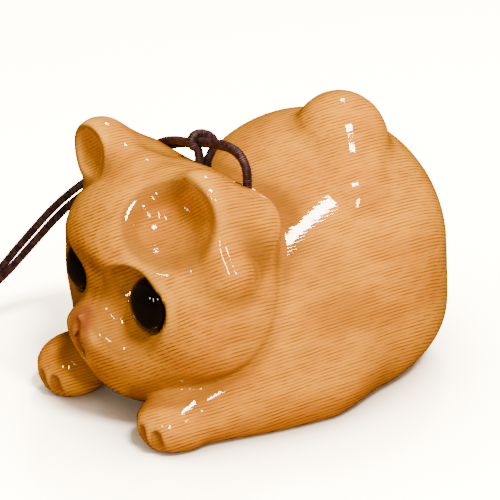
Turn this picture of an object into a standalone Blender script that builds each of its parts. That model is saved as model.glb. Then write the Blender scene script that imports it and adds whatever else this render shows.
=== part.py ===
"""Netsuke of a crouching bob-tailed cat: a carving in one piece of wood, two inlaid eyes and a doubled cord.

The cat faces -Y, its left side is +X and +Z is up. It stands on its flat underside at Z = 0.
The carving is drawn in units of which FIGURE_UNITS make the figure's length, and built in metres.
"""
import math

import bmesh
import bpy
import numpy as np
from mathutils import Matrix, Vector

# Driving sizes, in metres
FIGURE_LENGTH = 0.0486
EYE_WIDTH = 0.0052
EYE_DEPTH = 0.0042
EYE_HEIGHT = 0.0062
EYE_SEAT_GAP = 0.0003
STRAND = 0.0010
STRAND_GAP = 0.0003
CORD_HOLE_CLEARANCE = 0.0007
COIL_RADIUS = 0.0056
COIL_LAYERS = 2
END_KNOT = 0.0028
CONTACT_GAP = 0.0003

# The carving is drawn in units of its own length
FIGURE_UNITS = 48.6
UNIT = FIGURE_LENGTH / FIGURE_UNITS
MIDDLE_Y = 1.4

# How fine the carving's faces are, in units, and how many are kept
CELL = 0.5
CARVING_FACES = 6600
FIELD_LOW = (-19.0, -26.0, -5.5)
FIELD_HIGH = (19.0, 28.5, 36.5)

WOOD_COLOUR = (0.74, 0.42, 0.13, 1)
EYE_COLOUR = (0.01, 0.01, 0.012, 1)
CORD_COLOUR = (0.055, 0.012, 0.016, 1)


def turned(points, tilt, turn):
    """Points seen in axes turned about Z and then tilted about X, in degrees."""
    a, b = math.radians(tilt), math.radians(turn)
    x = points[:, 0] * math.cos(b) + points[:, 1] * math.sin(b)
    y = -points[:, 0] * math.sin(b) + points[:, 1] * math.cos(b)
    z = points[:, 2]
    return np.stack([x, y * math.cos(a) + z * math.sin(a), -y * math.sin(a) + z * math.cos(a)], axis=1)


class Egg:
    """An ellipsoid, turned about Z and tilted about its own X, in degrees."""

    def __init__(self, centre, radii, tilt=0.0, turn=0.0):
        self.centre, self.radii, self.tilt, self.turn = np.array(centre), np.array(radii), tilt, turn

    def distance(self, points):
        local = turned(points - self.centre, self.tilt, self.turn)
        reach = np.linalg.norm(local / self.radii, axis=1)
        slope = np.linalg.norm(local / self.radii ** 2, axis=1)
        return reach * (reach - 1) / np.maximum(slope, 1e-6)

    def mirrored(self):
        return Egg(self.centre * (-1, 1, 1), self.radii, self.tilt, -self.turn)


class Limb:
    """A rounded rod from one ball to another of another radius."""

    def __init__(self, start, end, start_radius, end_radius):
        self.start, self.end = np.array(start, float), np.array(end, float)
        self.radii = start_radius, end_radius

    def distance(self, points):
        axis = self.end - self.start
        along = np.clip((points - self.start) @ axis / (axis @ axis), 0, 1)
        radius = self.radii[0] + (self.radii[1] - self.radii[0]) * along
        return np.linalg.norm(points - self.start - along[:, None] * axis, axis=1) - radius

    def mirrored(self):
        side = np.array((-1, 1, 1))
        return Limb(self.start * side, self.end * side, *self.radii)


def blend(first, second, radius):
    """The union of two distance fields, with a fillet of about this radius where they meet."""
    near = np.maximum(radius - np.abs(first - second), 0) / radius
    return np.minimum(first, second) - near * near * radius / 4


def carve(solid, tool, radius):
    """A solid less a tool, with its edge eased by about this radius."""
    return -blend(-solid, tool, radius)


def pair(form, radius):
    """A form on the cat's left and its mirror image, with their fillet."""
    return [(form, radius), (form.mirrored(), radius)]


class Carving:
    """Forms that are joined in turn, each with its fillet, and then forms that are cut out."""

    def __init__(self, added, cut=()):
        self.added, self.cut = added, cut

    def distance(self, points):
        solid = self.added[0][0].distance(points)
        for form, radius in self.added[1:]:
            solid = blend(solid, form.distance(points), radius)
        for form, radius in self.cut:
            solid = carve(solid, form.distance(points), radius)
        return solid


def toe_grooves(paw):
    """Three short cuts down the front of a paw, between its four toes."""
    grooves = []
    for side in (-1.95, 0.0, 1.95):
        low = (paw[0] + side, paw[1] - 3.85 + abs(side) * 0.42, 0.2)
        high = (paw[0] + side * 0.9, paw[1] - 3.65 + abs(side) * 0.35, 3.0)
        grooves.append((Limb(low, high, 0.4, 0.2), 1.1))
    return grooves


def foreleg(shoulder, wrist, paw, paw_radii):
    """A foreleg along the ground with its paw, and the toes cut."""
    return Carving([(Limb(shoulder, wrist, 6.5, 3.5), 0), (Egg(paw, paw_radii), 1.5)], toe_grooves(paw))


def trunk():
    """Body, haunches, chest and forelegs."""
    body = Egg((0, 9.8, 14.6), (16.5, 15.9, 16.3))
    chest = Egg((0, -3.5, 11.5), (14.6, 12.0, 12.5))
    haunch = Egg((6.4, 6.5, 6.0), (8.6, 17.0, 7.6))
    left_leg = foreleg((10.2, 1.0, 5.8), (9.0, -14.6, 3.2), (8.5, -16.7, 2.9), (3.7, 3.9, 3.2))
    right_leg = foreleg((-10.0, 1.0, 6.0), (-9.1, -16.6, 3.4), (-9.3, -18.8, 3.1), (3.9, 3.9, 3.7))
    return Carving([(body, 0)] + pair(haunch, 6) + [(chest, 6), (left_leg, 5), (right_leg, 2.5)])


def tail():
    """The bob tail: a ball on the back, with the slope by which it grows out of the left flank."""
    ball = Egg((3.3, 11.0, 28.5), (5.4, 5.5, 5.6))
    root = Limb((4.8, 10.8, 27.6), (8.6, 8.2, 23.6), 4.5, 4.6)
    return Carving([(ball, 0), (root, 2.0)])


def ear_forms(tip, foot):
    """A broad ear on the cat's left, from its tip down to the crown, the nape and its outer foot."""
    tip = np.array(tip)
    crown = Limb(tip + (-6.4, 1.2, -2.0), tip + (-1.0, 0, -0.2), 2.5, 2.0)
    cheek = Limb(tip + foot, tip + (0.2, 0, -0.2), 2.5, 2.0)
    nape = Limb(tip + (-3.0, 6.0, -5.0), tip + (-1.0, 0.6, -0.6), 3.4, 2.0)
    side = Limb(tip + (1.0, 6.0, -3.8), tip + (0.2, 0.8, -0.6), 2.9, 2.1)
    return [(crown, 2.0), (cheek, 2.0), (nape, 3.0), (side, 3.5)]


def ear_hollow(tip, middle, radii):
    """The scoop in the front of an ear on the cat's left, its middle measured from the ear's tip."""
    return Egg(np.array(tip) + middle, radii, tilt=10, turn=-12)


def mirrored_forms(forms):
    return [(form.mirrored(), radius) for form, radius in forms]


def mouth_cuts():
    """The groove under the nose, the two lip lines and the small hollow of the mouth."""
    philtrum = Limb((0, -23.1, 13.4), (0, -22.6, 11.3), 0.4, 0.5)
    lip = Limb((0, -22.6, 11.2), (1.9, -21.9, 12.4), 0.55, 0.3)
    mouth = Limb((0, -22.3, 10.7), (0, -21.4, 9.5), 0.8, 0.6)
    return [(philtrum, 0.3)] + pair(lip, 0.3) + [(mouth, 0.5)]


LEFT_EYE = np.array((7.1, -18.0, 17.0))
RIGHT_EYE = np.array((-6.8, -17.5, 16.6))


def eye_seat(centre):
    """The close hollow that an eye is let into, its gap all round, drawn in units."""
    radii = np.array((EYE_WIDTH, EYE_DEPTH, EYE_HEIGHT)) / 2 + EYE_SEAT_GAP
    return Egg(centre, radii / UNIT)


def head():
    """The head with its cheeks, jaw, muzzle, forehead, nose and ears, and what is cut in it."""
    left_tip, right_tip = (9.2, -12.8, 28.4), (10.0, -13.4, 29.4)
    left_hollow = ear_hollow(left_tip, (-0.5, -4.3, -1.5), (5.0, 4.1, 4.1))
    left_scoop = ear_hollow(left_tip, (1.0, -3.8, -1.2), (3.5, 3.7, 4.0))
    right_hollow = ear_hollow(right_tip, (-0.8, -4.5, -0.6), (3.9, 4.4, 3.6)).mirrored()
    skull = Egg((0, -10.2, 17.4), (14.2, 11.2, 11.6))
    cheek = Egg((8.0, -10.5, 13.2), (6.0, 6.5, 6.2))
    jaw = Egg((0, -12.8, 8.9), (9.0, 8.4, 7.2))
    muzzle = Egg((0, -19.3, 12.5), (4.8, 3.5, 3.8))
    forehead = Egg((0, -14.3, 21.5), (7.8, 6.0, 5.4))
    nose = Limb((0, -22.8, 14.5), (0.9, -22.3, 15.0), 0.8, 0.55)
    bridge = Egg((0, -24.2, 17.8), (5.2, 3.4, 2.9))
    cheek_hollow = Egg((6.4, -20.9, 16.3), (3.4, 2.6, 3.8))
    left_socket = Egg((6.0, -19.9, 18.4), (3.0, 3.0, 3.0))
    right_socket = Egg((-5.6, -19.9, 17.0), (2.8, 2.8, 2.8))
    return Carving([(skull, 0)] + pair(cheek, 4) + [(jaw, 4), (muzzle, 3.5), (forehead, 5)]
                   + ear_forms(left_tip, (3.8, 1.0, -7.4))
                   + mirrored_forms(ear_forms(right_tip, (0.4, 1.6, -6.0))) + pair(nose, 0.6),
                   [(bridge, 3), (left_hollow, 2.2), (left_scoop, 0.5), (right_hollow, 0.6)]
                   + pair(cheek_hollow, 2.5) + [(left_socket, 0.6), (right_socket, 0.6)]
                   + [(eye_seat(LEFT_EYE), 0.15), (eye_seat(RIGHT_EYE), 0.15)] + mouth_cuts())


def figure_distance(points):
    """The whole carving's distance field, in units, before its underside is cut flat."""
    solid = blend(TRUNK.distance(points), TAIL.distance(points), 0.8)
    return blend(solid, HEAD.distance(points), 0.6)


TRUNK, TAIL, HEAD = trunk(), tail(), head()


def edge_crossings(grid, value, axis):
    """Where the field changes sign along one axis: a mask, the crossing points and which end is inside."""
    low = [slice(None)] * 3
    high = [slice(None)] * 3
    low[axis], high[axis] = slice(None, -1), slice(1, None)
    start, end = value[tuple(low)], value[tuple(high)]
    crossed = (start < 0) != (end < 0)
    share = np.where(crossed, start / np.where(crossed, start - end, 1), 0)
    point = grid[tuple(low)] + share[..., None] * (grid[tuple(high)] - grid[tuple(low)])
    return crossed, point * crossed[..., None], start < 0


def around_cell(values, axis):
    """The sum over the four edges along one axis that bound each cell."""
    for other in range(3):
        if other != axis:
            low = [slice(None)] * values.ndim
            high = [slice(None)] * values.ndim
            low[other], high[other] = slice(None, -1), slice(1, None)
            values = values[tuple(low)] + values[tuple(high)]
    return values


def crossing_quads(crossed, starts_inside, number, axis):
    """The four cells round each crossed edge, turned so that the face looks outwards."""
    second, third = (axis + 1) % 3, (axis + 2) % 3
    place = np.argwhere(crossed)
    step = np.eye(3, dtype=int)
    rings = [place - step[second] - step[third], place - step[third], place, place - step[second]]
    quads = np.stack([number[tuple(ring.T)] for ring in rings], axis=1)
    outward = starts_inside[tuple(place.T)]
    quads[~outward] = quads[~outward][:, ::-1]
    return quads


def grid_points(low, counts, cell):
    axes = [start + cell * np.arange(count) for start, count in zip(low, counts)]
    return np.stack(np.meshgrid(*axes, indexing="ij"), axis=-1)


def sampled_field(distance, low, counts, cell, block=4):
    """The field on a grid: exact near the surface, and elsewhere as it is in the middle of each block."""
    blocks = [math.ceil(count / block) for count in counts]
    middles = grid_points(np.array(low) + cell * (block - 1) / 2, blocks, cell * block)
    value = distance(middles.reshape(-1, 3)).reshape(blocks)
    for axis in range(3):
        value = value.repeat(block, axis=axis)
    value = value[:counts[0], :counts[1], :counts[2]]
    grid = grid_points(low, counts, cell)
    near = np.abs(value) < cell * block * 1.3
    value[near] = distance(grid[near])
    return grid, value


def field_mesh(distance, low, high, cell):
    """The surface of a distance field between two corners: one point in each cell that it crosses."""
    counts = [math.ceil((end - start) / cell) + 1 for start, end in zip(low, high)]
    grid, value = sampled_field(distance, low, counts, cell)
    found = [edge_crossings(grid, value, axis) for axis in range(3)]
    count = sum(around_cell(crossed.astype(int), axis) for axis, (crossed, _, _) in enumerate(found))
    total = sum(around_cell(point, axis) for axis, (_, point, _) in enumerate(found))
    number = np.full(count.shape, -1)
    number[count > 0] = np.arange((count > 0).sum())
    points = total[count > 0] / count[count > 0][:, None]
    quads = np.concatenate([crossing_quads(crossed, inside, number, axis)
                            for axis, (crossed, _, inside) in enumerate(found)])
    mesh = bpy.data.meshes.new("field_surface")
    mesh.from_pydata(points.tolist(), [], quads.tolist())
    return mesh


def settle(mesh, distance, steps, reach):
    """Move every point of a mesh onto a distance field's surface, by at most this reach a step."""
    points = np.empty(len(mesh.vertices) * 3)
    mesh.vertices.foreach_get("co", points)
    points = points.reshape(-1, 3)
    step = 0.02
    for _ in range(steps):
        value = distance(points)
        slope = np.stack([distance(points + offset) - distance(points - offset)
                          for offset in np.eye(3) * step], axis=1) / (2 * step)
        size = np.maximum((slope ** 2).sum(axis=1), 0.2)
        move = -slope * (value / size)[:, None]
        length = np.maximum(np.linalg.norm(move, axis=1), 1e-9)
        points = points + move * np.minimum(1, reach / length)[:, None]
    mesh.vertices.foreach_set("co", points.ravel())
    mesh.update()


def evaluated_copy(shape):
    """The mesh that an object's modifiers give."""
    bpy.context.view_layer.update()
    return bpy.data.meshes.new_from_object(shape.evaluated_get(bpy.context.evaluated_depsgraph_get()))


def remeshed(mesh, cell):
    """The mesh made over from even cells of this size, with no folded or doubled edges."""
    rough = bpy.data.objects.new("rough_carving", mesh)
    bpy.context.scene.collection.objects.link(rough)
    modifier = rough.modifiers.new("even_cells", "REMESH")
    modifier.mode = "VOXEL"
    modifier.voxel_size = cell
    even = evaluated_copy(rough)
    bpy.data.objects.remove(rough)
    return even


def carved_mesh():
    """The carving's surface in units."""
    mesh = remeshed(field_mesh(figure_distance, FIELD_LOW, FIELD_HIGH, CELL), CELL)
    settle(mesh, figure_distance, 6, CELL / 2)
    return mesh


def placed(point):
    """A point of the drawing, in units, as a place on the object, in metres."""
    return Vector((point[0] * UNIT, (point[1] - MIDDLE_Y) * UNIT, point[2] * UNIT))


def material(name, colour, roughness, coat):
    finish = bpy.data.materials.new(name)
    finish.use_nodes = True
    shader = finish.node_tree.nodes["Principled BSDF"]
    shader.inputs["Base Color"].default_value = colour
    shader.inputs["Roughness"].default_value = roughness
    shader.inputs["Coat Weight"].default_value = coat
    return finish


def new_piece(name, mesh, finish, collection):
    mesh.name = name
    mesh.materials.clear()
    mesh.materials.append(finish)
    mesh.shade_smooth()
    piece = bpy.data.objects.new(name, mesh)
    collection.objects.link(piece)
    return piece


def cutter(name, mesh, collection):
    """An object that only cuts others."""
    tool = bpy.data.objects.new(name, mesh)
    collection.objects.link(tool)
    tool.hide_render = True
    tool.display_type = "WIRE"
    return tool


def cut_with(piece, tool):
    modifier = piece.modifiers.new("cut_" + tool.name, "BOOLEAN")
    modifier.operation = "DIFFERENCE"
    modifier.object = tool


def smooth_route(points, spacing):
    """Points at about this spacing along a smooth curve through the given ones."""
    ends = [2 * points[0] - points[1]] + list(points) + [2 * points[-1] - points[-2]]
    route = []
    for before, start, end, after in zip(ends, ends[1:], ends[2:], ends[3:]):
        count = max(1, round((end - start).length / spacing))
        for index in range(count):
            t = index / count
            route.append(0.5 * (2 * start + (end - before) * t
                                + (2 * before - 5 * start + 4 * end - after) * t ** 2
                                + (3 * start - before - 3 * end + after) * t ** 3))
    return route + [points[-1]]


def tube_mesh(name, route, diameter):
    """A closed tube along a route, as a mesh."""
    curve = bpy.data.curves.new(name, "CURVE")
    curve.dimensions = "3D"
    curve.bevel_depth = diameter / 2
    curve.bevel_resolution = 2
    curve.use_fill_caps = True
    spline = curve.splines.new("POLY")
    spline.points.add(len(route) - 1)
    for point, place in zip(spline.points, route):
        point.co = (*place, 1)
    rod = bpy.data.objects.new(name, curve)
    bpy.context.scene.collection.objects.link(rod)
    mesh = evaluated_copy(rod)
    bpy.data.objects.remove(rod)
    bm = bmesh.new()
    bm.from_mesh(mesh)
    bmesh.ops.remove_doubles(bm, verts=bm.verts, dist=1e-6)
    bm.to_mesh(mesh)
    bm.free()
    return mesh


# The cord lies in a pair: both strands side by side, this far apart
LANE = STRAND + STRAND_GAP
CORD_HOLE = 2 * STRAND + STRAND_GAP + CORD_HOLE_CLEARANCE
COIL_HEIGHT = COIL_LAYERS * STRAND + (COIL_LAYERS - 1) * STRAND_GAP / 2

# Where the cord hole runs, in units: in at the left mouth, under the nape, out at the middle
HOLE_COURSE = ((7.1, -4.9, 30.0), (6.7, -4.8, 27.0), (6.2, -4.6, 24.6), (5.0, -4.5, 22.5), (2.8, -4.6, 21.4),
               (0.5, -4.7, 22.5), (-0.7, -5.0, 25.2), (-1.0, -5.3, 29.8))

# The free cord's middle line, in units, from the left mouth over the nape and down to the coil
FREE_COURSE = ((6.4, -4.7, 25.7), (6.8, -4.85, 27.8), (6.6, -4.9, 29.4), (5.6, -4.95, 30.5), (3.6, -5.0, 30.9),
               (1.2, -5.05, 30.6), (-1.2, -5.0, 30.1), (-4.2, -4.7, 29.2), (-7.6, -3.7, 28.1),
               (-10.9, -3.0, 26.9), (-14.8, -4.4, 24.6), (-18.1, -8.4, 21.6), (-21.2, -12.0, 17.8),
               (-24.2, -15.2, 12.9), (-27.1, -18.2, 8.0), (-29.6, -21.0, 4.6))
KNOT_PLACE = 6
LEFT_FRONT = Vector((0.73, -0.55, 0.40))
COIL_START_ANGLE = math.radians(140)
COIL_CENTRE = (-28.0, -27.6)


def cord_hole_cutter():
    return tube_mesh("cord_hole", hole_course(), CORD_HOLE)


def base_cutter():
    """A block that cuts the underside flat."""
    bm = bmesh.new()
    size = FIGURE_LENGTH * 1.5
    bmesh.ops.create_cube(bm, size=size, matrix=Matrix.Translation((0, 0, -size / 2)))
    mesh = bpy.data.meshes.new("base_cutter")
    bm.to_mesh(mesh)
    bm.free()
    return mesh


def carved_cat(finish, collection, cutters):
    mesh = carved_mesh()
    mesh.transform(Matrix.Scale(UNIT, 4) @ Matrix.Translation((0, -MIDDLE_Y, 0)))
    cat = new_piece("carved_cat", mesh, finish, collection)
    thin = cat.modifiers.new("fewer_faces", "DECIMATE")
    thin.ratio = CARVING_FACES / (2 * len(mesh.polygons))
    cut_with(cat, cutter("underside", base_cutter(), cutters))
    cut_with(cat, cutter("cord_hole", cord_hole_cutter(), cutters))


def inlaid_eye(name, middle, finish, collection):
    """A tall oval cabochon in its seat, its middle given in units."""
    bm = bmesh.new()
    centre = placed(middle)
    radii = (EYE_WIDTH / 2, EYE_DEPTH / 2, EYE_HEIGHT / 2, 1)
    bmesh.ops.create_uvsphere(bm, u_segments=18, v_segments=10, radius=1,
                              matrix=Matrix.Translation(centre) @ Matrix.Diagonal(radii))
    mesh = bpy.data.meshes.new(name)
    bm.to_mesh(mesh)
    bm.free()
    new_piece(name, mesh, finish, collection)


def lane_route(course, side, aside):
    """A strand's middle line: the pair's course moved half a lane to one side."""
    route = []
    last = len(course) - 1
    for index, place in enumerate(course):
        ahead = (course[min(index + 1, last)] - course[max(index - 1, 0)]).normalized()
        route.append(place + aside(ahead, index / last).normalized() * side * LANE / 2)
    return route


def eased(value, low, high):
    """0 below low, 1 above high and an even slope between."""
    return min(1.0, max(0.0, (value - low) / (high - low)))


def free_aside(ahead, share):
    """Across the free pair: one strand before the other round the knot, then side by side, flat on the coil."""
    facing = LEFT_FRONT.lerp(Vector((0, 0, 1)), eased(share, 0.72, 1.0))
    before = LEFT_FRONT - ahead * LEFT_FRONT.dot(ahead)
    return before.lerp(ahead.cross(facing), eased(share, 0.3, 0.5))


def hole_aside(ahead, share):
    """Across the pair inside the hole, where its strands lie one before the other."""
    return Vector((0, -1, 0))


def coil_point(angle):
    """A point of the coil's middle line at its top layer, turned this far round from its start."""
    around = COIL_START_ANGLE + angle
    centre = placed((*COIL_CENTRE, 0))
    return centre + Vector((math.cos(around) * COIL_RADIUS, math.sin(around) * COIL_RADIUS, COIL_HEIGHT))


def free_course():
    """The pair's middle line from the left mouth to where it lies on the coil."""
    corners = [placed(point) for point in FREE_COURSE]
    corners.append(coil_point(0) + Vector((0, 0, STRAND / 2 + CONTACT_GAP)))
    return smooth_route(corners, 2.4 * STRAND)


def free_strand(name, side, finish, collection):
    route = lane_route(free_course(), side, free_aside)
    new_piece(name, tube_mesh(name, route, STRAND), finish, collection)


def hole_course():
    return smooth_route([placed(point) for point in HOLE_COURSE], CORD_HOLE / 3)


def loop_leg():
    """The loop's middle line inside the hole, from under the free strands to the other mouth."""
    start = placed(FREE_COURSE[0]).z - STRAND / 2 - CONTACT_GAP
    course = hole_course()
    first = next(index for index, place in enumerate(course) if place.z < start)
    last = len(course) - next(index for index, place in enumerate(course[::-1]) if place.z < start + 3.1 * STRAND)
    return course[first:last]


def bend_round_knot():
    """The loop's bend round both free strands: up before them, over the top and down behind."""
    knot = placed(FREE_COURSE[KNOT_PLACE])
    ahead = (placed(FREE_COURSE[KNOT_PLACE + 1]) - placed(FREE_COURSE[KNOT_PLACE - 1])).normalized()
    front = (LEFT_FRONT - ahead * LEFT_FRONT.dot(ahead)).normalized()
    down = front.cross(ahead)
    deep = LANE / 2 + STRAND + 1.3 * CONTACT_GAP
    tall = STRAND + 1.3 * CONTACT_GAP
    turns = [math.radians(angle) for angle in (72, 35, 0, -30, -60, -90, -120, -150, -180, -208)]
    return [knot + front * math.cos(turn) * deep + down * math.sin(turn) * tall for turn in turns]


def cord_loop(finish, collection):
    """The cord's closed end: two legs through the hole, and the bend that wraps round both free strands."""
    leg = loop_leg()
    front = lane_route(leg, 1, hole_aside)
    back = lane_route(leg, -1, hole_aside)
    route = smooth_route(front + bend_round_knot() + back[::-1], 1.2 * STRAND)
    new_piece("cord_loop", tube_mesh("cord_loop", route, STRAND), finish, collection)


def cord_coil(finish, collection):
    """The outer shape of the coil: a flat ring that both layers of the pair fill."""
    inner = COIL_RADIUS - LANE / 2 - STRAND / 2
    outer = COIL_RADIUS + LANE / 2 + STRAND / 2
    profile = ((outer, COIL_HEIGHT), (outer, 0), (inner, 0), (inner, COIL_HEIGHT))
    mesh = bpy.data.meshes.new("coil_profile")
    bm = bmesh.new()
    corners = [bm.verts.new((radius, 0, z)) for radius, z in profile]
    edges = [bm.edges.new((corners[i], corners[(i + 1) % len(corners)])) for i in range(len(corners))]
    bmesh.ops.spin(bm, geom=corners + edges, cent=(0, 0, 0), axis=(0, 0, 1), angle=math.tau, steps=28,
                   use_merge=True)
    bmesh.ops.recalc_face_normals(bm, faces=bm.faces)
    bm.to_mesh(mesh)
    bm.free()
    coil = new_piece("cord_coil", mesh, finish, collection)
    coil.location = placed((*COIL_CENTRE, 0))


def end_knot(finish, collection):
    """The knot that ties both ends, lying beside the coil."""
    bm = bmesh.new()
    outer = COIL_RADIUS + LANE / 2 + STRAND / 2
    around = COIL_START_ANGLE + math.radians(215)
    way = Vector((math.cos(around), math.sin(around), 0))
    centre = placed((*COIL_CENTRE, 0)) + way * (outer + CONTACT_GAP + END_KNOT / 2) + Vector((0, 0, END_KNOT / 2))
    bmesh.ops.create_uvsphere(bm, u_segments=14, v_segments=8, radius=END_KNOT / 2,
                              matrix=Matrix.Translation(centre))
    mesh = bpy.data.meshes.new("cord_end_knot")
    bm.to_mesh(mesh)
    bm.free()
    new_piece("cord_end_knot", mesh, finish, collection)


def main():
    for item in list(bpy.data.objects):
        bpy.data.objects.remove(item, do_unlink=True)
    netsuke = bpy.data.collections.new("netsuke")
    cutters = bpy.data.collections.new("cutters")
    bpy.context.scene.collection.children.link(netsuke)
    bpy.context.scene.collection.children.link(cutters)
    wood = material("lacquered_wood", WOOD_COLOUR, 0.3, 1.0)
    horn = material("black_horn", EYE_COLOUR, 0.08, 1.0)
    braid = material("maroon_braid", CORD_COLOUR, 0.6, 0.0)
    carved_cat(wood, netsuke, cutters)
    inlaid_eye("left_eye", LEFT_EYE, horn, netsuke)
    inlaid_eye("right_eye", RIGHT_EYE, horn, netsuke)
    free_strand("cord_strand_1", 1, braid, netsuke)
    free_strand("cord_strand_2", -1, braid, netsuke)
    cord_loop(braid, netsuke)
    cord_coil(braid, netsuke)
    end_knot(braid, netsuke)


main()
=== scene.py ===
"""The finished look of the cat netsuke: fine carving, lacquered wood, inlaid eyes and braided cord."""

import math

import bmesh
import bpy
import numpy as np
from mathutils import Matrix, Vector


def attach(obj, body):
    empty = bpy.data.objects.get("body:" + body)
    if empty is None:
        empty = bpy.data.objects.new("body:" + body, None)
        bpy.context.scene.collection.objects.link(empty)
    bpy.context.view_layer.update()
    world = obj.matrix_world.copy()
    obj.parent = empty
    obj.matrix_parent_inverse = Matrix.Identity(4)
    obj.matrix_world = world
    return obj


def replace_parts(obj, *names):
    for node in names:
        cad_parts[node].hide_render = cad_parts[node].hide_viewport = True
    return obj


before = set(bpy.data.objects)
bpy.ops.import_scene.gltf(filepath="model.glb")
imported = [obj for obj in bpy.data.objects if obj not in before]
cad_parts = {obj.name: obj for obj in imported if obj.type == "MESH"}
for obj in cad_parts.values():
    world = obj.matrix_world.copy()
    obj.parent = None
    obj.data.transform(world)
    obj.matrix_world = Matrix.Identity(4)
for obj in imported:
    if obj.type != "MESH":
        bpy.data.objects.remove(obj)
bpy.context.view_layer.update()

# Driving sizes, in metres, as in the part's source
FIGURE_LENGTH = 0.0486
EYE_WIDTH = 0.0052
EYE_DEPTH = 0.0042
EYE_HEIGHT = 0.0062
EYE_SEAT_GAP = 0.0003
STRAND = 0.0010
STRAND_GAP = 0.0003
CORD_HOLE_CLEARANCE = 0.0007
COIL_RADIUS = 0.0056
COIL_LAYERS = 2
END_KNOT = 0.0028
CONTACT_GAP = 0.0003

FIGURE_UNITS = 48.6
UNIT = FIGURE_LENGTH / FIGURE_UNITS
MIDDLE_Y = 1.4
CELL = 0.3
FIELD_LOW = (-19.0, -26.0, -2.5)
FIELD_HIGH = (19.0, 28.5, 36.5)

LANE = 1.08 * STRAND
CORD_HOLE = 2 * STRAND + STRAND_GAP + CORD_HOLE_CLEARANCE
COIL_HEIGHT = COIL_LAYERS * STRAND + (COIL_LAYERS - 1) * STRAND_GAP / 2

# Where the cord hole runs, in units: in at the left mouth, under the nape, out at the middle
HOLE_COURSE = ((7.1, -4.9, 30.0), (6.7, -4.8, 27.0), (6.2, -4.6, 24.6), (5.0, -4.5, 22.5),
               (2.8, -4.6, 21.4), (0.5, -4.7, 22.5), (-0.7, -5.0, 25.2), (-1.0, -5.3, 29.8))

# The free cord's middle line, in units, from the left mouth over the nape and down to the coil
FREE_COURSE = ((6.4, -4.7, 25.7), (6.8, -4.85, 27.8), (6.6, -4.9, 29.4), (5.6, -4.95, 30.5),
               (3.6, -5.0, 30.9), (1.2, -5.05, 30.6), (-1.2, -5.0, 30.1), (-4.2, -4.7, 29.2), (-7.6, -3.7, 28.1),
               (-10.9, -3.0, 26.9), (-14.8, -4.4, 24.6), (-18.1, -8.4, 21.6), (-21.2, -12.0, 17.8),
               (-24.2, -15.2, 12.9), (-27.1, -18.2, 8.0), (-29.6, -21.0, 4.6))
KNOT_PLACE = 6
LEFT_FRONT = Vector((0.73, -0.55, 0.40))
COIL_START_ANGLE = math.radians(140)
COIL_CENTRE = (-28.0, -27.6)
COIL_TOP_TURN = math.radians(170)
COIL_DROP_TURN = math.radians(215)
COIL_END_TURN = math.radians(560)

# The view, in units
VIEW_TARGET = (1.9, -0.8, 17.0)
VIEW_DISTANCE = 180.0
VIEW_TURN = math.radians(53)
VIEW_RISE = math.radians(23.5)
LENS = 112.75

# The grain: the way across its layers, and how many lines there are in a unit
GRAIN_ACROSS = (-0.545, 0.03, 0.839)
LINES_PER_UNIT = 2.75
RELIEF = 0.00006

# The plaited tube: sides round it, and its ring spacing and yarn pitch in cord diameters
BRAID_SIDES = 20
BRAID_STEP = 0.16
BRAID_PITCH = 2.6

# The lamps, in metres
LAMP_DISTANCE = 0.6
LAMP_COLOUR = (1.0, 0.88, 0.70)
FLOOR_REACH = 3.0


# The carving's forms, in units, as the part's source draws them

def turned(points, tilt, turn):
    """Points seen in axes turned about Z and then tilted about X, in degrees."""
    a, b = math.radians(tilt), math.radians(turn)
    x = points[:, 0] * math.cos(b) + points[:, 1] * math.sin(b)
    y = -points[:, 0] * math.sin(b) + points[:, 1] * math.cos(b)
    z = points[:, 2]
    return np.stack([x, y * math.cos(a) + z * math.sin(a), -y * math.sin(a) + z * math.cos(a)], axis=1)


class Egg:
    """An ellipsoid, turned about Z and tilted about its own X, in degrees."""

    def __init__(self, centre, radii, tilt=0.0, turn=0.0):
        self.centre, self.radii, self.tilt, self.turn = np.array(centre), np.array(radii), tilt, turn

    def distance(self, points):
        local = turned(points - self.centre, self.tilt, self.turn)
        reach = np.linalg.norm(local / self.radii, axis=1)
        slope = np.linalg.norm(local / self.radii ** 2, axis=1)
        return reach * (reach - 1) / np.maximum(slope, 1e-6)

    def mirrored(self):
        return Egg(self.centre * (-1, 1, 1), self.radii, self.tilt, -self.turn)


class Limb:
    """A rounded rod from one ball to another of another radius."""

    def __init__(self, start, end, start_radius, end_radius):
        self.start, self.end = np.array(start, float), np.array(end, float)
        self.radii = start_radius, end_radius

    def distance(self, points):
        axis = self.end - self.start
        along = np.clip((points - self.start) @ axis / (axis @ axis), 0, 1)
        radius = self.radii[0] + (self.radii[1] - self.radii[0]) * along
        return np.linalg.norm(points - self.start - along[:, None] * axis, axis=1) - radius

    def mirrored(self):
        side = np.array((-1, 1, 1))
        return Limb(self.start * side, self.end * side, *self.radii)


def blend(first, second, radius):
    """The union of two distance fields, with a fillet of about this radius where they meet."""
    near = np.maximum(radius - np.abs(first - second), 0) / radius
    return np.minimum(first, second) - near * near * radius / 4


def carve(solid, tool, radius):
    """A solid less a tool, with its edge eased by about this radius."""
    return -blend(-solid, tool, radius)


def pair(form, radius):
    """A form on the cat's left and its mirror image, with their fillet."""
    return [(form, radius), (form.mirrored(), radius)]


class Carving:
    """Forms that are joined in turn, each with its fillet, and then forms that are cut out."""

    def __init__(self, added, cut=()):
        self.added, self.cut = added, cut

    def distance(self, points):
        solid = self.added[0][0].distance(points)
        for form, radius in self.added[1:]:
            solid = blend(solid, form.distance(points), radius)
        for form, radius in self.cut:
            solid = carve(solid, form.distance(points), radius)
        return solid


def toe_grooves(paw):
    """Three short cuts down the front of a paw, between its four toes."""
    grooves = []
    for side in (-1.95, 0.0, 1.95):
        low = (paw[0] + side, paw[1] - 3.85 + abs(side) * 0.42, 0.2)
        high = (paw[0] + side * 0.9, paw[1] - 3.65 + abs(side) * 0.35, 3.0)
        grooves.append((Limb(low, high, 0.4, 0.2), 1.1))
    return grooves


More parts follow.
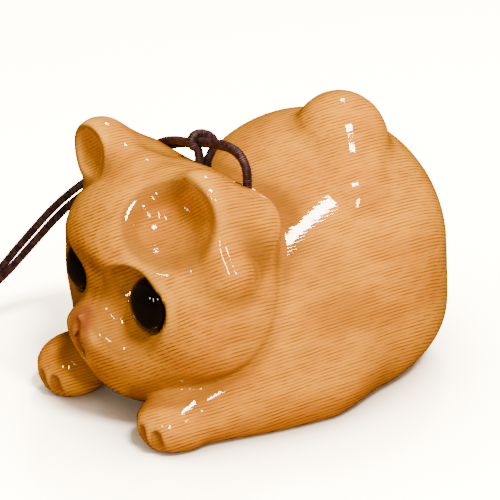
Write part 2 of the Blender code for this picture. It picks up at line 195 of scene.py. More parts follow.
def foreleg(shoulder, wrist, paw, paw_radii):
    """A foreleg along the ground with its paw, and the toes cut."""
    return Carving([(Limb(shoulder, wrist, 6.5, 3.5), 0), (Egg(paw, paw_radii), 1.5)], toe_grooves(paw))


def trunk():
    """Body, haunches, chest and forelegs."""
    body = Egg((0, 9.8, 14.6), (16.5, 15.9, 16.3))
    chest = Egg((0, -3.5, 11.5), (14.6, 12.0, 12.5))
    haunch = Egg((6.4, 6.5, 6.0), (8.6, 17.0, 7.6))
    left_leg = foreleg((10.2, 1.0, 5.8), (9.0, -14.6, 3.2), (8.5, -16.7, 2.9), (3.7, 3.9, 3.2))
    right_leg = foreleg((-10.0, 1.0, 6.0), (-9.1, -16.6, 3.4), (-9.3, -18.8, 3.1), (3.9, 3.9, 3.7))
    return Carving([(body, 0)] + pair(haunch, 6) + [(chest, 6), (left_leg, 5), (right_leg, 2.5)])


def tail():
    """The bob tail: a ball on the back, with the slope by which it grows out of the left flank."""
    ball = Egg((3.3, 11.0, 28.5), (5.4, 5.5, 5.6))
    root = Limb((4.8, 10.8, 27.6), (8.6, 8.2, 23.6), 4.5, 4.6)
    return Carving([(ball, 0), (root, 2.0)])


def ear_forms(tip, foot):
    """A broad ear on the cat's left, from its tip down to the crown, the nape and its outer foot."""
    tip = np.array(tip)
    crown = Limb(tip + (-6.4, 1.2, -2.0), tip + (-1.0, 0, -0.2), 2.5, 2.0)
    cheek = Limb(tip + foot, tip + (0.2, 0, -0.2), 2.5, 2.0)
    nape = Limb(tip + (-3.0, 6.0, -5.0), tip + (-1.0, 0.6, -0.6), 3.4, 2.0)
    side = Limb(tip + (1.0, 6.0, -3.8), tip + (0.2, 0.8, -0.6), 2.9, 2.1)
    return [(crown, 2.0), (cheek, 2.0), (nape, 3.0), (side, 3.5)]


def ear_hollow(tip, middle, radii):
    """The scoop in the front of an ear on the cat's left, its middle measured from the ear's tip."""
    return Egg(np.array(tip) + middle, radii, tilt=10, turn=-12)


def mirrored_forms(forms):
    return [(form.mirrored(), radius) for form, radius in forms]


def mouth_cuts():
    """The groove under the nose, the two lip lines and the small hollow of the mouth."""
    philtrum = Limb((0, -23.1, 13.4), (0, -22.6, 11.3), 0.4, 0.5)
    lip = Limb((0, -22.6, 11.2), (1.9, -21.9, 12.4), 0.55, 0.3)
    mouth = Limb((0, -22.3, 10.7), (0, -21.4, 9.5), 0.8, 0.6)
    return [(philtrum, 0.3)] + pair(lip, 0.3) + [(mouth, 0.5)]


LEFT_EYE = np.array((7.1, -18.0, 17.0))
RIGHT_EYE = np.array((-6.8, -17.5, 16.6))


def eye_seat(centre):
    """The close hollow that an eye is let into, its gap all round, drawn in units."""
    radii = np.array((EYE_WIDTH, EYE_DEPTH, EYE_HEIGHT)) / 2 + EYE_SEAT_GAP
    return Egg(centre, radii / UNIT)


def head():
    """The head with its cheeks, jaw, muzzle, forehead, nose and ears, and what is cut in it."""
    left_tip, right_tip = (9.2, -12.8, 28.4), (10.0, -13.4, 29.4)
    left_hollow = ear_hollow(left_tip, (-0.5, -4.3, -1.5), (5.0, 4.1, 4.1))
    left_scoop = ear_hollow(left_tip, (1.0, -3.8, -1.2), (3.5, 3.7, 4.0))
    right_hollow = ear_hollow(right_tip, (-0.8, -4.5, -0.6), (3.9, 4.4, 3.6)).mirrored()
    skull = Egg((0, -10.2, 17.4), (14.2, 11.2, 11.6))
    cheek = Egg((8.0, -10.5, 13.2), (6.0, 6.5, 6.2))
    jaw = Egg((0, -12.8, 8.9), (9.0, 8.4, 7.2))
    muzzle = Egg((0, -19.3, 12.5), (4.8, 3.5, 3.8))
    forehead = Egg((0, -14.3, 21.5), (7.8, 6.0, 5.4))
    nose = Limb((0, -22.8, 14.5), (0.9, -22.3, 15.0), 0.8, 0.55)
    bridge = Egg((0, -24.2, 17.8), (5.2, 3.4, 2.9))
    cheek_hollow = Egg((6.4, -20.9, 16.3), (3.4, 2.6, 3.8))
    left_socket = Egg((6.0, -19.9, 18.4), (3.0, 3.0, 3.0))
    right_socket = Egg((-5.6, -19.9, 17.0), (2.8, 2.8, 2.8))
    return Carving([(skull, 0)] + pair(cheek, 4) + [(jaw, 4), (muzzle, 3.5), (forehead, 5)]
                   + ear_forms(left_tip, (3.8, 1.0, -7.4))
                   + mirrored_forms(ear_forms(right_tip, (0.4, 1.6, -6.0))) + pair(nose, 0.6),
                   [(bridge, 3), (left_hollow, 2.2), (left_scoop, 0.5), (right_hollow, 0.6)]
                   + pair(cheek_hollow, 2.5) + [(left_socket, 0.6), (right_socket, 0.6)]
                   + [(eye_seat(LEFT_EYE), 0.15), (eye_seat(RIGHT_EYE), 0.15)] + mouth_cuts())


def figure_distance(points):
    """The whole carving's distance field, in units, before its underside is cut flat."""
    solid = blend(TRUNK.distance(points), TAIL.distance(points), 0.8)
    return blend(solid, HEAD.distance(points), 0.6)


TRUNK, TAIL, HEAD = trunk(), tail(), head()


def edge_crossings(grid, value, axis):
    """Where the field changes sign along one axis: a mask, the crossing points and which end is inside."""
    low = [slice(None)] * 3
    high = [slice(None)] * 3
    low[axis], high[axis] = slice(None, -1), slice(1, None)
    start, end = value[tuple(low)], value[tuple(high)]
    crossed = (start < 0) != (end < 0)
    share = np.where(crossed, start / np.where(crossed, start - end, 1), 0)
    point = grid[tuple(low)] + share[..., None] * (grid[tuple(high)] - grid[tuple(low)])
    return crossed, point * crossed[..., None], start < 0


def around_cell(values, axis):
    """The sum over the four edges along one axis that bound each cell."""
    for other in range(3):
        if other != axis:
            low = [slice(None)] * values.ndim
            high = [slice(None)] * values.ndim
            low[other], high[other] = slice(None, -1), slice(1, None)
            values = values[tuple(low)] + values[tuple(high)]
    return values


def crossing_quads(crossed, starts_inside, number, axis):
    """The four cells round each crossed edge, turned so that the face looks outwards."""
    second, third = (axis + 1) % 3, (axis + 2) % 3
    place = np.argwhere(crossed)
    step = np.eye(3, dtype=int)
    rings = [place - step[second] - step[third], place - step[third], place, place - step[second]]
    quads = np.stack([number[tuple(ring.T)] for ring in rings], axis=1)
    outward = starts_inside[tuple(place.T)]
    quads[~outward] = quads[~outward][:, ::-1]
    return quads


def grid_points(low, counts, cell):
    axes = [start + cell * np.arange(count) for start, count in zip(low, counts)]
    return np.stack(np.meshgrid(*axes, indexing="ij"), axis=-1)


def sampled_field(distance, low, counts, cell, block=4):
    """The field on a grid: exact near the surface, and elsewhere as it is in the middle of each block."""
    blocks = [math.ceil(count / block) for count in counts]
    middles = grid_points(np.array(low) + cell * (block - 1) / 2, blocks, cell * block)
    value = distance(middles.reshape(-1, 3)).reshape(blocks)
    for axis in range(3):
        value = value.repeat(block, axis=axis)
    value = value[:counts[0], :counts[1], :counts[2]]
    grid = grid_points(low, counts, cell)
    near = np.abs(value) < cell * block * 1.3
    value[near] = distance(grid[near])
    return grid, value


def field_mesh(distance, low, high, cell):
    """The surface of a distance field between two corners: one point in each cell that it crosses."""
    counts = [math.ceil((end - start) / cell) + 1 for start, end in zip(low, high)]
    grid, value = sampled_field(distance, low, counts, cell)
    found = [edge_crossings(grid, value, axis) for axis in range(3)]
    count = sum(around_cell(crossed.astype(int), axis) for axis, (crossed, _, _) in enumerate(found))
    total = sum(around_cell(point, axis) for axis, (_, point, _) in enumerate(found))
    number = np.full(count.shape, -1)
    number[count > 0] = np.arange((count > 0).sum())
    points = total[count > 0] / count[count > 0][:, None]
    quads = np.concatenate([crossing_quads(crossed, inside, number, axis)
                            for axis, (crossed, _, inside) in enumerate(found)])
    mesh = bpy.data.meshes.new("field_surface")
    mesh.from_pydata(points.tolist(), [], quads.tolist())
    return mesh


def settle(mesh, distance, steps, reach):
    """Move every point of a mesh onto a distance field's surface, by at most this reach a step."""
    points = np.empty(len(mesh.vertices) * 3)
    mesh.vertices.foreach_get("co", points)
    points = points.reshape(-1, 3)
    step = 0.02
    for _ in range(steps):
        value = distance(points)
        slope = np.stack([distance(points + offset) - distance(points - offset)
                          for offset in np.eye(3) * step], axis=1) / (2 * step)
        size = np.maximum((slope ** 2).sum(axis=1), 0.2)
        move = -slope * (value / size)[:, None]
        length = np.maximum(np.linalg.norm(move, axis=1), 1e-9)
        points = points + move * np.minimum(1, reach / length)[:, None]
    mesh.vertices.foreach_set("co", points.ravel())
    mesh.update()


# The view, the materials and the pieces

def placed(point):
    """A point of the drawing, in units, as a place on the object, in metres."""
    return Vector((point[0] * UNIT, (point[1] - MIDDLE_Y) * UNIT, point[2] * UNIT))


def place_camera():
    target = placed(VIEW_TARGET)
    back = Vector((math.sin(VIEW_TURN) * math.cos(VIEW_RISE), -math.cos(VIEW_TURN) * math.cos(VIEW_RISE),
                   math.sin(VIEW_RISE)))
    camera = bpy.data.objects.new("camera", bpy.data.cameras.new("camera"))
    bpy.context.scene.collection.objects.link(camera)
    camera.data.lens = LENS
    camera.data.clip_start = 0.01
    camera.location = target + back * VIEW_DISTANCE * UNIT
    camera.rotation_euler = back.to_track_quat("Z", "Y").to_euler()
    bpy.context.scene.camera = camera


def add_piece(name, mesh, finish):
    """A piece that rides on the figure's one body."""
    mesh.materials.clear()
    mesh.materials.append(finish)
    mesh.shade_smooth()
    piece = bpy.data.objects.new(name, mesh)
    bpy.context.scene.collection.objects.link(piece)
    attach(piece, "root")
    return piece


class Shader:
    """A few short ways to build a node tree."""

    def __init__(self, tree):
        self.tree = tree

    def node(self, kind, settings=(), **inputs):
        made = self.tree.nodes.new(kind)
        for name, value in dict(settings).items():
            setattr(made, name, value)
        for name, value in inputs.items():
            self.feed(made, name.replace("_", " "), value)
        return made

    def feed(self, node, name, value):
        socket = node.inputs[int(name) if name.isdigit() else name]
        if isinstance(value, bpy.types.NodeSocket):
            self.tree.links.new(value, socket)
        else:
            socket.default_value = value

    def math(self, operation, first, second=0.0, third=None, clamp=False):
        made = self.tree.nodes.new("ShaderNodeMath")
        made.operation = operation
        made.use_clamp = clamp
        for index, value in enumerate((first, second, third)):
            if value is not None:
                self.feed(made, str(index), value)
        return made.outputs[0]

    def ramp(self, factor, low, high):
        made = self.tree.nodes.new("ShaderNodeMapRange")
        made.interpolation_type = "SMOOTHSTEP"
        for name, value in (("Value", factor), ("From Min", low), ("From Max", high)):
            self.feed(made, name, value)
        return made.outputs["Result"]

    def mix(self, factor, first, second):
        made = self.tree.nodes.new("ShaderNodeMix")
        made.data_type = "RGBA"
        self.feed(made, "0", factor)
        self.feed(made, "6", first)
        self.feed(made, "7", second)
        return made.outputs[2]

    def noise(self, vector, scale, detail=3.0, roughness=0.5):
        made = self.node("ShaderNodeTexNoise", Vector=vector, Scale=scale, Detail=detail,
                         Roughness=roughness)
        return made.outputs["Fac"]

    def place(self):
        """Where a point lies on the object, in metres."""
        return self.node("ShaderNodeTexCoord").outputs["Object"]

    def attribute(self, name):
        made = self.tree.nodes.new("ShaderNodeAttribute")
        made.attribute_name = name
        return made.outputs["Fac"]

    def stretched(self, vector, amounts):
        made = self.node("ShaderNodeVectorMath", {"operation": "MULTIPLY"})
        self.feed(made, "0", vector)
        made.inputs[1].default_value = amounts
        return made.outputs[0]


def new_material(name):
    finish = bpy.data.materials.new(name)
    finish.use_nodes = True
    tree = finish.node_tree
    return finish, Shader(tree), tree.nodes["Principled BSDF"]


def mask_group(name, outputs):
    """A node group that gives these masks."""
    tree = bpy.data.node_groups.new(name, "ShaderNodeTree")
    for output in outputs:
        tree.interface.new_socket(output, in_out="OUTPUT", socket_type="NodeSocketFloat")
    return tree, Shader(tree), tree.nodes.new("NodeGroupOutput")


def growth_rings():
    """Growth lines through the block, in flat layers that lean over the figure's length: the dark
    late wood of each year as a mask, and a slow change of tone between the years."""
    tree, shader, end = mask_group("growth_rings", ("Late", "Tone"))
    units = shader.stretched(shader.place(), (1 / UNIT,) * 3)
    drift = shader.noise(units, 0.05, 2.0)
    waver = shader.noise(shader.stretched(units, (0.35, 0.1, 0.35)), 1.0, 2.0)
    across = shader.node("ShaderNodeVectorMath", {"operation": "DOT_PRODUCT"})
    shader.feed(across, "0", units)
    across.inputs[1].default_value = GRAIN_ACROSS
    years = shader.math("MULTIPLY", across.outputs["Value"], LINES_PER_UNIT)
    years = shader.math("ADD", years, shader.math("MULTIPLY", drift, 4.0))
    years = shader.math("ADD", years, shader.math("MULTIPLY", waver, 0.7))
    part = shader.math("FRACT", years)
    late = shader.math("MULTIPLY", shader.ramp(part, 0.40, 0.72), shader.ramp(part, 0.97, 0.83))
    streak = shader.noise(shader.stretched(units, (1.2, 0.3, 1.2)), 1.0, 3.0)
    broken = shader.math("MULTIPLY_ADD", shader.ramp(streak, 0.35, 0.65), 0.6, 0.4)
    late = shader.math("MULTIPLY", late, broken)
    tree.links.new(late, end.inputs["Late"])
    tone = shader.noise(shader.stretched(units, (0.14, 0.09, 0.20)), 1.0, 4.0, 0.6)
    tree.links.new(tone, end.inputs["Tone"])
    return tree


def wood():
    """Honey-coloured wood under clear lacquer, with painted shade darkening the hollows and creases, a painted
    shadow in the eye sockets and paler wear on the ridges.
    """
    finish, shader, surface = new_material("lacquered_wood")
    rings = shader.node("ShaderNodeGroup", {"node_tree": growth_rings()})
    late, tone = rings.outputs["Late"], rings.outputs["Tone"]
    # Painted shade: this mask is occlusion worked out from the carving's field, high in hollows and creases
    # where shade falls
    hollow_shade = shader.ramp(shader.attribute("hollow_shade"), 0.02, 0.26)
    edge = shader.ramp(shader.attribute("edge"), 0.1, 0.6)
    pale = shader.mix(shader.ramp(tone, 0.35, 0.65), (0.86, 0.34, 0.004, 1), (0.66, 0.225, 0.002, 1))
    depth = shader.math("MULTIPLY_ADD", shader.attribute("face"), 0.2, 0.75)
    lined = shader.mix(shader.math("MULTIPLY", late, depth), pale, (0.15, 0.04, 0.002, 1))
    worn = shader.mix(shader.math("MULTIPLY", edge, 0.45), lined, (0.98, 0.50, 0.06, 1))
    # Painted shade: the wood turns dark brown where the occlusion mask is high, varied a little by the tone
    painted_hollow_shade = shader.math("MULTIPLY", hollow_shade, shader.math("MULTIPLY_ADD", tone, 0.6, 0.5), clamp=True)
    hollow_shaded = shader.mix(painted_hollow_shade, worn, (0.25, 0.085, 0.006, 1))
    # Painted shadow: the socket mask darkens the wood to near-black brown inside the eye sockets
    dark = shader.mix(shader.attribute("socket"), hollow_shaded, (0.035, 0.009, 0.001, 1))
    lips = shader.mix(shader.math("MULTIPLY", shader.attribute("lips"), 0.7), dark, (0.30, 0.075, 0.022, 1))
    shader.feed(surface, "Base Color", lips)
    surface.inputs["Roughness"].default_value = 0.5
    surface.inputs["Specular IOR Level"].default_value = 0.0
    surface.inputs["Coat Weight"].default_value = 1.0
    surface.inputs["Coat Roughness"].default_value = 0.03
    surface.inputs["Coat IOR"].default_value = 1.55
    ridges = shader.node("ShaderNodeBump", Strength=0.5, Distance=RELIEF, Height=late)
    shader.feed(surface, "Normal", ridges.outputs["Normal"])
    wave = shader.noise(shader.place(), 900.0, 2.0)
    film = shader.node("ShaderNodeBump", Strength=0.25, Distance=RELIEF,
                       Height=shader.math("MULTIPLY_ADD", late, 0.12, wave))
    shader.feed(surface, "Coat Normal", film.outputs["Normal"])
    return finish


def inlay():
    """Polished black horn, with a painted sheen that makes it a little lighter towards its rim."""
    finish, shader, surface = new_material("dark_inlay")
    cloud = shader.noise(shader.place(), 700.0, 2.0)
    # Painted sheen: the colour lightens where the surface turns away from the view, standing in for a grazing
    # reflection
    grazing_sheen = shader.node("ShaderNodeLayerWeight", Blend=0.3)
    tint = shader.mix(shader.math("MULTIPLY", grazing_sheen.outputs["Facing"], 0.6), (0.0008, 0.0006, 0.0006, 1),
                      (0.020, 0.018, 0.016, 1))
    clouded = shader.mix(shader.math("MULTIPLY", cloud, 0.15), tint, (0.01, 0.006, 0.004, 1))
    shader.feed(surface, "Base Color", clouded)
    surface.inputs["Roughness"].default_value = 0.5
    surface.inputs["Specular IOR Level"].default_value = 0.0
    surface.inputs["Coat Weight"].default_value = 1.0
    surface.inputs["Coat Roughness"].default_value = 0.015
    surface.inputs["Coat IOR"].default_value = 1.3
    return finish


def braid():
    """Round plaited cord: eight fat yarns, four turning each way, with a few lighter threads and painted shade
    in the grooves between the yarns.
    """
    finish, shader, surface = new_material("braided_cord")
    along = shader.attribute("along")
    around = shader.attribute("around")
    one_way = shader.math("FRACT", shader.math("ADD", along, around))
    other_way = shader.math("FRACT", shader.math("SUBTRACT", along, around))
    threads = shader.math("FRACT", shader.math("MULTIPLY", shader.math("ADD", one_way, other_way), 3.0))
    on_cord = shader.node("ShaderNodeCombineXYZ", X=along, Y=around, Z=0.0).outputs[0]
    fleck = shader.ramp(shader.math("MULTIPLY", threads, shader.noise(on_cord, 2.2, 2.0)), 0.30, 0.55)
    # Painted shade: the cord is darker where a yarn dips under its neighbours, taken from the 'over' lift mask
    painted_groove_shade = shader.ramp(shader.attribute("over"), 0.15, 0.9)
    deep = shader.mix(painted_groove_shade, (0.003, 0.0008, 0.0012, 1), (0.020, 0.004, 0.0065, 1))
    flecked = shader.mix(shader.math("MULTIPLY", fleck, 0.45), deep, (0.26, 0.10, 0.11, 1))
    shader.feed(surface, "Base Color", flecked)
    surface.inputs["Roughness"].default_value = 0.55
    surface.inputs["Specular IOR Level"].default_value = 0.25
    surface.inputs["Sheen Weight"].default_value = 0.05
    surface.inputs["Sheen Roughness"].default_value = 0.4
    surface.inputs["Sheen Tint"].default_value = (0.5, 0.25, 0.28, 1)
    return finish


def smooth_route(points, spacing):
    """Points at about this spacing along a smooth curve through the given ones."""
    ends = [2 * points[0] - points[1]] + list(points) + [2 * points[-1] - points[-2]]
    route = []
    for before, start, end, after in zip(ends, ends[1:], ends[2:], ends[3:]):
        count = max(1, round((end - start).length / spacing))
        for index in range(count):
            t = index / count
            route.append(0.5 * (2 * start + (end - before) * t
                                + (2 * before - 5 * start + 4 * end - after) * t ** 2
                                + (3 * start - before - 3 * end + after) * t ** 3))
    return route + [points[-1]]


def lane_route(course, side, aside):
    """A strand's middle line: the pair's course moved half a lane to one side."""
    route = []
    last = len(course) - 1
    for index, place in enumerate(course):
        ahead = (course[min(index + 1, last)] - course[max(index - 1, 0)]).normalized()
        route.append(place + aside(ahead, index / last).normalized() * side * LANE / 2)
    return route


def eased(value, low, high):
    """0 below low, 1 above high and an even slope between."""
    return min(1.0, max(0.0, (value - low) / (high - low)))


def free_aside(ahead, share):
    """Across the free pair: one strand before the other at the knot, then side by side and flat."""
    facing = LEFT_FRONT.lerp(Vector((0, 0, 1)), eased(share, 0.72, 1.0))
    before = LEFT_FRONT - ahead * LEFT_FRONT.dot(ahead)
    return before.lerp(ahead.cross(facing), eased(share, 0.3, 0.5))


def hole_aside(ahead, share):
    """Across the pair inside the hole, where its strands lie one before the other."""
    return Vector((0, -1, 0))


def coil_place(turn, side):
    """A point of one strand in the coil: half a turn on top, then down and once round underneath."""
    low = STRAND / 2
    high = COIL_HEIGHT - STRAND / 2
    drop = min(1.0, max(0.0, (turn - COIL_TOP_TURN) / (COIL_DROP_TURN - COIL_TOP_TURN)))
    height = high + (low - high) * drop * drop * (3 - 2 * drop)
    radius = COIL_RADIUS - side * LANE / 2
    around = COIL_START_ANGLE + turn
    way = Vector((math.cos(around) * radius, math.sin(around) * radius, height))
    return placed((*COIL_CENTRE, 0)) + way


def free_course():
    """The pair's middle line from the left mouth to where it lies on the coil."""
    corners = [placed(point) for point in FREE_COURSE]
    corners.append(coil_place(0, 0) + Vector((0, 0, STRAND / 2 + CONTACT_GAP)))
    return smooth_route(corners, 2.4 * STRAND)


def knot_place():
    """The middle of the end knot, which lies beside the coil."""
    outer = COIL_RADIUS + LANE / 2 + STRAND / 2
    around = COIL_START_ANGLE + math.radians(215)
    way = Vector((math.cos(around), math.sin(around), 0))
    beside = placed((*COIL_CENTRE, 0)) + way * (outer + CONTACT_GAP + END_KNOT / 2)
    return beside + Vector((0, 0, END_KNOT / 2))


def strand_route(side):
    """One strand's middle line from the left mouth over the nape, through the coil and to the end knot."""
    route = lane_route(free_course(), side, free_aside)[:-1]
    turn = math.radians(12)
    while turn < COIL_END_TURN:
        route.append(coil_place(turn, side))
        turn += math.radians(18)
    knot = knot_place()
    inward = (placed((*COIL_CENTRE, 0)) - knot).normalized()
    route.append(Vector((knot.x, knot.y, STRAND)) + inward * END_KNOT * 0.35)
    return route


def braided_tube(name, route, finish):
    """A plaited tube along a route: its yarns stand proud where they pass over each other."""
    fine = smooth_route(route, STRAND * BRAID_STEP)
    sides = BRAID_SIDES
    points, along, around, over = [], [], [], []
    travelled = 0.0
    normal = None
    for index, place in enumerate(fine):
        ahead = (fine[min(index + 1, len(fine) - 1)] - fine[max(index - 1, 0)]).normalized()
        if normal is None:
            normal = ahead.orthogonal().normalized()
        normal = (normal - ahead * normal.dot(ahead)).normalized()
        other = ahead.cross(normal)
        if index:
            travelled += (place - fine[index - 1]).length
        for step in range(sides):
            turn = step / sides
            lead = travelled / (STRAND * BRAID_PITCH)
            yarn = math.cos(math.tau * 2 * (lead + turn)) * math.cos(math.tau * 2 * (lead - turn))
            lift = 0.5 + 0.5 * yarn
            radius = STRAND / 2 * (0.92 + 0.13 * lift)
            way = normal * math.cos(math.tau * turn) + other * math.sin(math.tau * turn)
            points.append(place + way * radius)
            along.append(lead * 2)
            around.append(turn * 2)
            # The lift is also kept as the mask for the painted shade between the yarns
            over.append(lift)
    faces = [(ring * sides + step, ring * sides + (step + 1) % sides,
              (ring + 1) * sides + (step + 1) % sides, (ring + 1) * sides + step)
             for ring in range(len(fine) - 1) for step in range(sides)]
    faces.append(tuple(range(sides))[::-1])
    faces.append(tuple((len(fine) - 1) * sides + step for step in range(sides)))
    mesh = bpy.data.meshes.new(name)
    mesh.from_pydata(points, [], faces)
    for label, values in (("along", along), ("around", around), ("over", over)):
        mesh.attributes.new(label, "FLOAT", "POINT").data.foreach_set("value", values)
    return add_piece(name, mesh, finish), fine


def route_length(route):
    return sum((end - start).length for start, end in zip(route, route[1:]))


def loop_leg():
    """The loop's middle line inside the hole, from under the free strands to the other mouth."""
    start = placed(FREE_COURSE[0]).z - STRAND / 2 - CONTACT_GAP
    course = smooth_route([placed(point) for point in HOLE_COURSE], CORD_HOLE / 3)
    first = next(index for index, place in enumerate(course) if place.z < start)
    top = start + 3.1 * STRAND
    last = len(course) - next(index for index, place in enumerate(course[::-1]) if place.z < top)
    return course[first:last]


def bend_round_knot():
    """The loop's bend round both free strands: up before them, over the top and down behind."""
    knot = placed(FREE_COURSE[KNOT_PLACE])
    ahead = (placed(FREE_COURSE[KNOT_PLACE + 1]) - placed(FREE_COURSE[KNOT_PLACE - 1])).normalized()
    front = (LEFT_FRONT - ahead * LEFT_FRONT.dot(ahead)).normalized()
    down = front.cross(ahead)
    deep = LANE / 2 + 1.02 * STRAND
    tall = 1.02 * STRAND
    turns = [math.radians(angle) for angle in (72, 35, 0, -30, -60, -90, -120, -150, -180, -208)]
    return [knot + front * math.cos(turn) * deep + down * math.sin(turn) * tall for turn in turns]


def cords(finish):
    leg = loop_leg()
    route = lane_route(leg, 1, hole_aside) + bend_round_knot() + lane_route(leg, -1, hole_aside)[::-1]
    loop, _ = braided_tube("cord_bend", route, finish)
    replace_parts(loop, "cord_loop")
    knot = end_knot(finish)
    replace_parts(knot, "cord_end_knot")
    for number, side in ((1, 1), (2, -1)):
        route = strand_route(side)
        strand, line = braided_tube(f"braided_strand_{number}", route, finish)
        nodes = [f"cord_strand_{number}"] + (["cord_coil"] if number == 1 else [])
        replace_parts(strand, *nodes)
        tuple(line[0])
        round(route_length(line), 4)
        [tuple(place) for place in line]


def vertex_places(mesh):
    places = np.empty(len(mesh.vertices) * 3)
    mesh.vertices.foreach_get("co", places)
    return places.reshape(-1, 3)


def end_knot(finish):
    """A small round knot: a ball wound with the cord."""
    centre = knot_place()
    bm = bmesh.new()
    bmesh.ops.create_icosphere(bm, subdivisions=5, radius=END_KNOT / 2 * 0.93)
    for vert in bm.verts:
        way = vert.co.normalized()
        ridge = math.cos(3 * math.atan2(way.y, way.x) + 7 * way.z) * (1 - way.z ** 2)
        vert.co += way * END_KNOT * 0.035 * ridge
    mesh = bpy.data.meshes.new("end_knot")
    bm.to_mesh(mesh)
    bm.free()
    mesh.transform(Matrix.Translation(centre))
    places = (vertex_places(mesh) - np.array(centre)) / STRAND
    # The 'over' values give the knot the same painted shade between its yarns as the cord
    for label, values in (("along", places[:, 2] * 2), ("around", places[:, 0] * 2),
                          ("over", 0.5 + 0.5 * np.cos(places @ (5.0, 4.0, 7.0)))):
        mesh.attributes.new(label, "FLOAT", "POINT").data.foreach_set("value", values)
    return add_piece("end_knot", mesh, finish)


def hole_forms():
    """The cord hole as short straight cuts along its course, in units."""
    course = [Vector(point) for point in HOLE_COURSE]
    route = [tuple(place) for place in smooth_route(course, 1.2)]
    radius = CORD_HOLE / 2 / UNIT
    return [Limb(start, end, radius, radius) for start, end in zip(route, route[1:])]


def carved_surface(points):
    """The finished carving's distance field, with the cord hole open and the underside flat."""
    solid = figure_distance(points)
    hole = HOLE[0].distance(points)
    for form in HOLE[1:]:
        hole = np.minimum(hole, form.distance(points))
    return np.maximum(carve(solid, hole, 0.25), -points[:, 2])


HOLE = hole_forms()


def smooth_mask(value, low, high):
    share = np.clip((value - low) / (high - low), 0, 1)
    return share * share * (3 - 2 * share)


def carving(finish):
    mesh = field_mesh(carved_surface, FIELD_LOW, FIELD_HIGH, CELL)
    settle(mesh, carved_surface, 4, CELL / 2)
    places = vertex_places(mesh)
    places[:, 2] = np.maximum(places[:, 2], 0)
    mesh.vertices.foreach_set("co", places.ravel())
    mesh.update()
    normals = np.empty(len(mesh.vertices) * 3)
    mesh.vertex_normals.foreach_get("vector", normals)
    normals = normals.reshape(-1, 3)
    # How much of the open space round each point the carving blocks: the mask for the painted shade in hollows
    # and creases
    occluded_share = np.zeros(len(places))
    proud = np.zeros(len(places))
    for reach in (0.7, 1.5, 3.0, 6.0):
        occluded_share += np.clip(1 - figure_distance(places + normals * reach) / reach, 0, 1) / 4
    for reach in (0.5, 1.0, 2.0):
        proud += np.clip(1 + figure_distance(places - normals * reach) / reach, 0, 1) / 3
    # Painted shadow: a mask over the eye sockets, which darkens the wood there
    socket_shadow_eggs = [Egg(place, (3.0, 3.2, 3.0)) for place in ((6.0, -19.5, 18.2), (-5.6, -19.5, 17.0))]
    inside = np.minimum(socket_shadow_eggs[0].distance(places), socket_shadow_eggs[1].distance(places))
    deep = smooth_mask(-inside, -0.1, 0.9)
    face = smooth_mask(-Egg((2.0, -20.0, 17.0), (12.0, 9.0, 11.0)).distance(places), -1.0, 5.0)
    lips = smooth_mask(-Egg((0.2, -22.5, 12.7), (2.3, 1.9, 3.6)).distance(places), -0.3, 0.8)
    masks = {"hollow_shade": occluded_share, "edge": proud, "socket": deep, "face": face, "lips": lips}
    for label, values in masks.items():
        mesh.attributes.new(label, "FLOAT", "POINT").data.foreach_set("value", values)
    mesh.transform(Matrix.Scale(UNIT, 4) @ Matrix.Translation((0, -MIDDLE_Y, 0)))
    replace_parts(add_piece("cat_carving", mesh, finish), "carved_cat")


def eye(name, middle, finish):
    bm = bmesh.new()
    centre = placed(middle)
    radii = (EYE_WIDTH / 2, EYE_DEPTH / 2, EYE_HEIGHT / 2, 1)
    bmesh.ops.create_icosphere(bm, subdivisions=5, radius=1,
                               matrix=Matrix.Translation(centre) @ Matrix.Diagonal(radii))
    mesh = bpy.data.meshes.new(name)
    bm.to_mesh(mesh)
    bm.free()
    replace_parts(add_piece(name, mesh, finish), name.replace("polished_", ""))


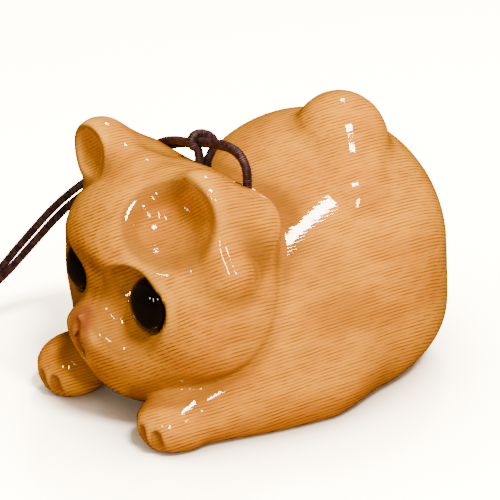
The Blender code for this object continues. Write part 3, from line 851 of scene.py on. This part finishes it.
def floor():
    """A sheet of white paper, seen by the camera as bright as in an overexposed picture, with a painted shadow
    from ambient occlusion that darkens it near the figure.
    """
    mesh = bpy.data.meshes.new("floor")
    corners = [(x * FLOOR_REACH, y * FLOOR_REACH, 0) for x, y in ((-1, -1), (1, -1), (1, 1), (-1, 1))]
    mesh.from_pydata(corners, [], [(0, 1, 2, 3)])
    finish = bpy.data.materials.new("white_paper")
    finish.use_nodes = True
    nodes, links = finish.node_tree.nodes, finish.node_tree.links
    nodes.remove(nodes["Principled BSDF"])
    shader = Shader(finish.node_tree)
    path = nodes.new("ShaderNodeLightPath")
    # Painted shadow: ambient occlusion darkens the paper's camera colour close to the figure
    contact_shade_ao = shader.node("ShaderNodeAmbientOcclusion", Distance=0.045).outputs["AO"]
    paper_with_painted_shadow = shader.mix(shader.math("POWER", contact_shade_ao, 2.2), (0.3, 0.27, 0.22, 1), (8.5, 8.4, 7.9, 1))
    bounced = shader.mix(path.outputs["Is Glossy Ray"], (0.34, 0.23, 0.07, 1), (0.07, 0.045, 0.012, 1))
    paper = nodes.new("ShaderNodeBsdfDiffuse")
    shader.feed(paper, "Color", shader.mix(path.outputs["Is Camera Ray"], bounced, paper_with_painted_shadow))
    links.new(paper.outputs[0], nodes["Material Output"].inputs["Surface"])
    mesh.materials.append(finish)
    sheet = bpy.data.objects.new("floor", mesh)
    bpy.context.scene.collection.objects.link(sheet)


def area_light(name, way, size, power):
    """A softbox in this direction from the figure's middle, facing it."""
    light = bpy.data.lights.new(name, "AREA")
    light.shape = "RECTANGLE"
    light.size, light.size_y = size
    light.energy = power
    light.color = LAMP_COLOUR
    lamp = bpy.data.objects.new(name, light)
    bpy.context.scene.collection.objects.link(lamp)
    way = Vector(way).normalized()
    lamp.location = Vector((0, 0, 0.015)) + way * LAMP_DISTANCE
    lamp.rotation_euler = way.to_track_quat("Z", "Y").to_euler()


def lighting():
    """A dim warm room, one broad lamp and a few small ones whose glints show in the lacquer."""
    world = bpy.data.worlds.new("studio")
    bpy.context.scene.world = world
    world.use_nodes = True
    backdrop = world.node_tree.nodes["Background"]
    backdrop.inputs["Color"].default_value = (1.0, 0.74, 0.30, 1)
    backdrop.inputs["Strength"].default_value = 0.10
    area_light("window", (0.56, -0.08, 0.83), (0.14, 0.08), 7.8)
    area_light("back_window", (-0.35, 0.40, 0.85), (0.06, 0.09), 2.0)
    area_light("side_window", (0.90, -0.09, 0.40), (0.05, 0.05), 0.8)
    area_light("front_window", (0.74, -0.56, 0.38), (0.03, 0.12), 1.3)
    area_light("face_window", (0.47, -0.77, 0.42), (0.04, 0.05), 0.9)


def main():
    place_camera()
    cords(braid())
    carving(wood())
    finish = inlay()
    eye("polished_left_eye", LEFT_EYE, finish)
    eye("polished_right_eye", RIGHT_EYE, finish)
    floor()
    lighting()


main()
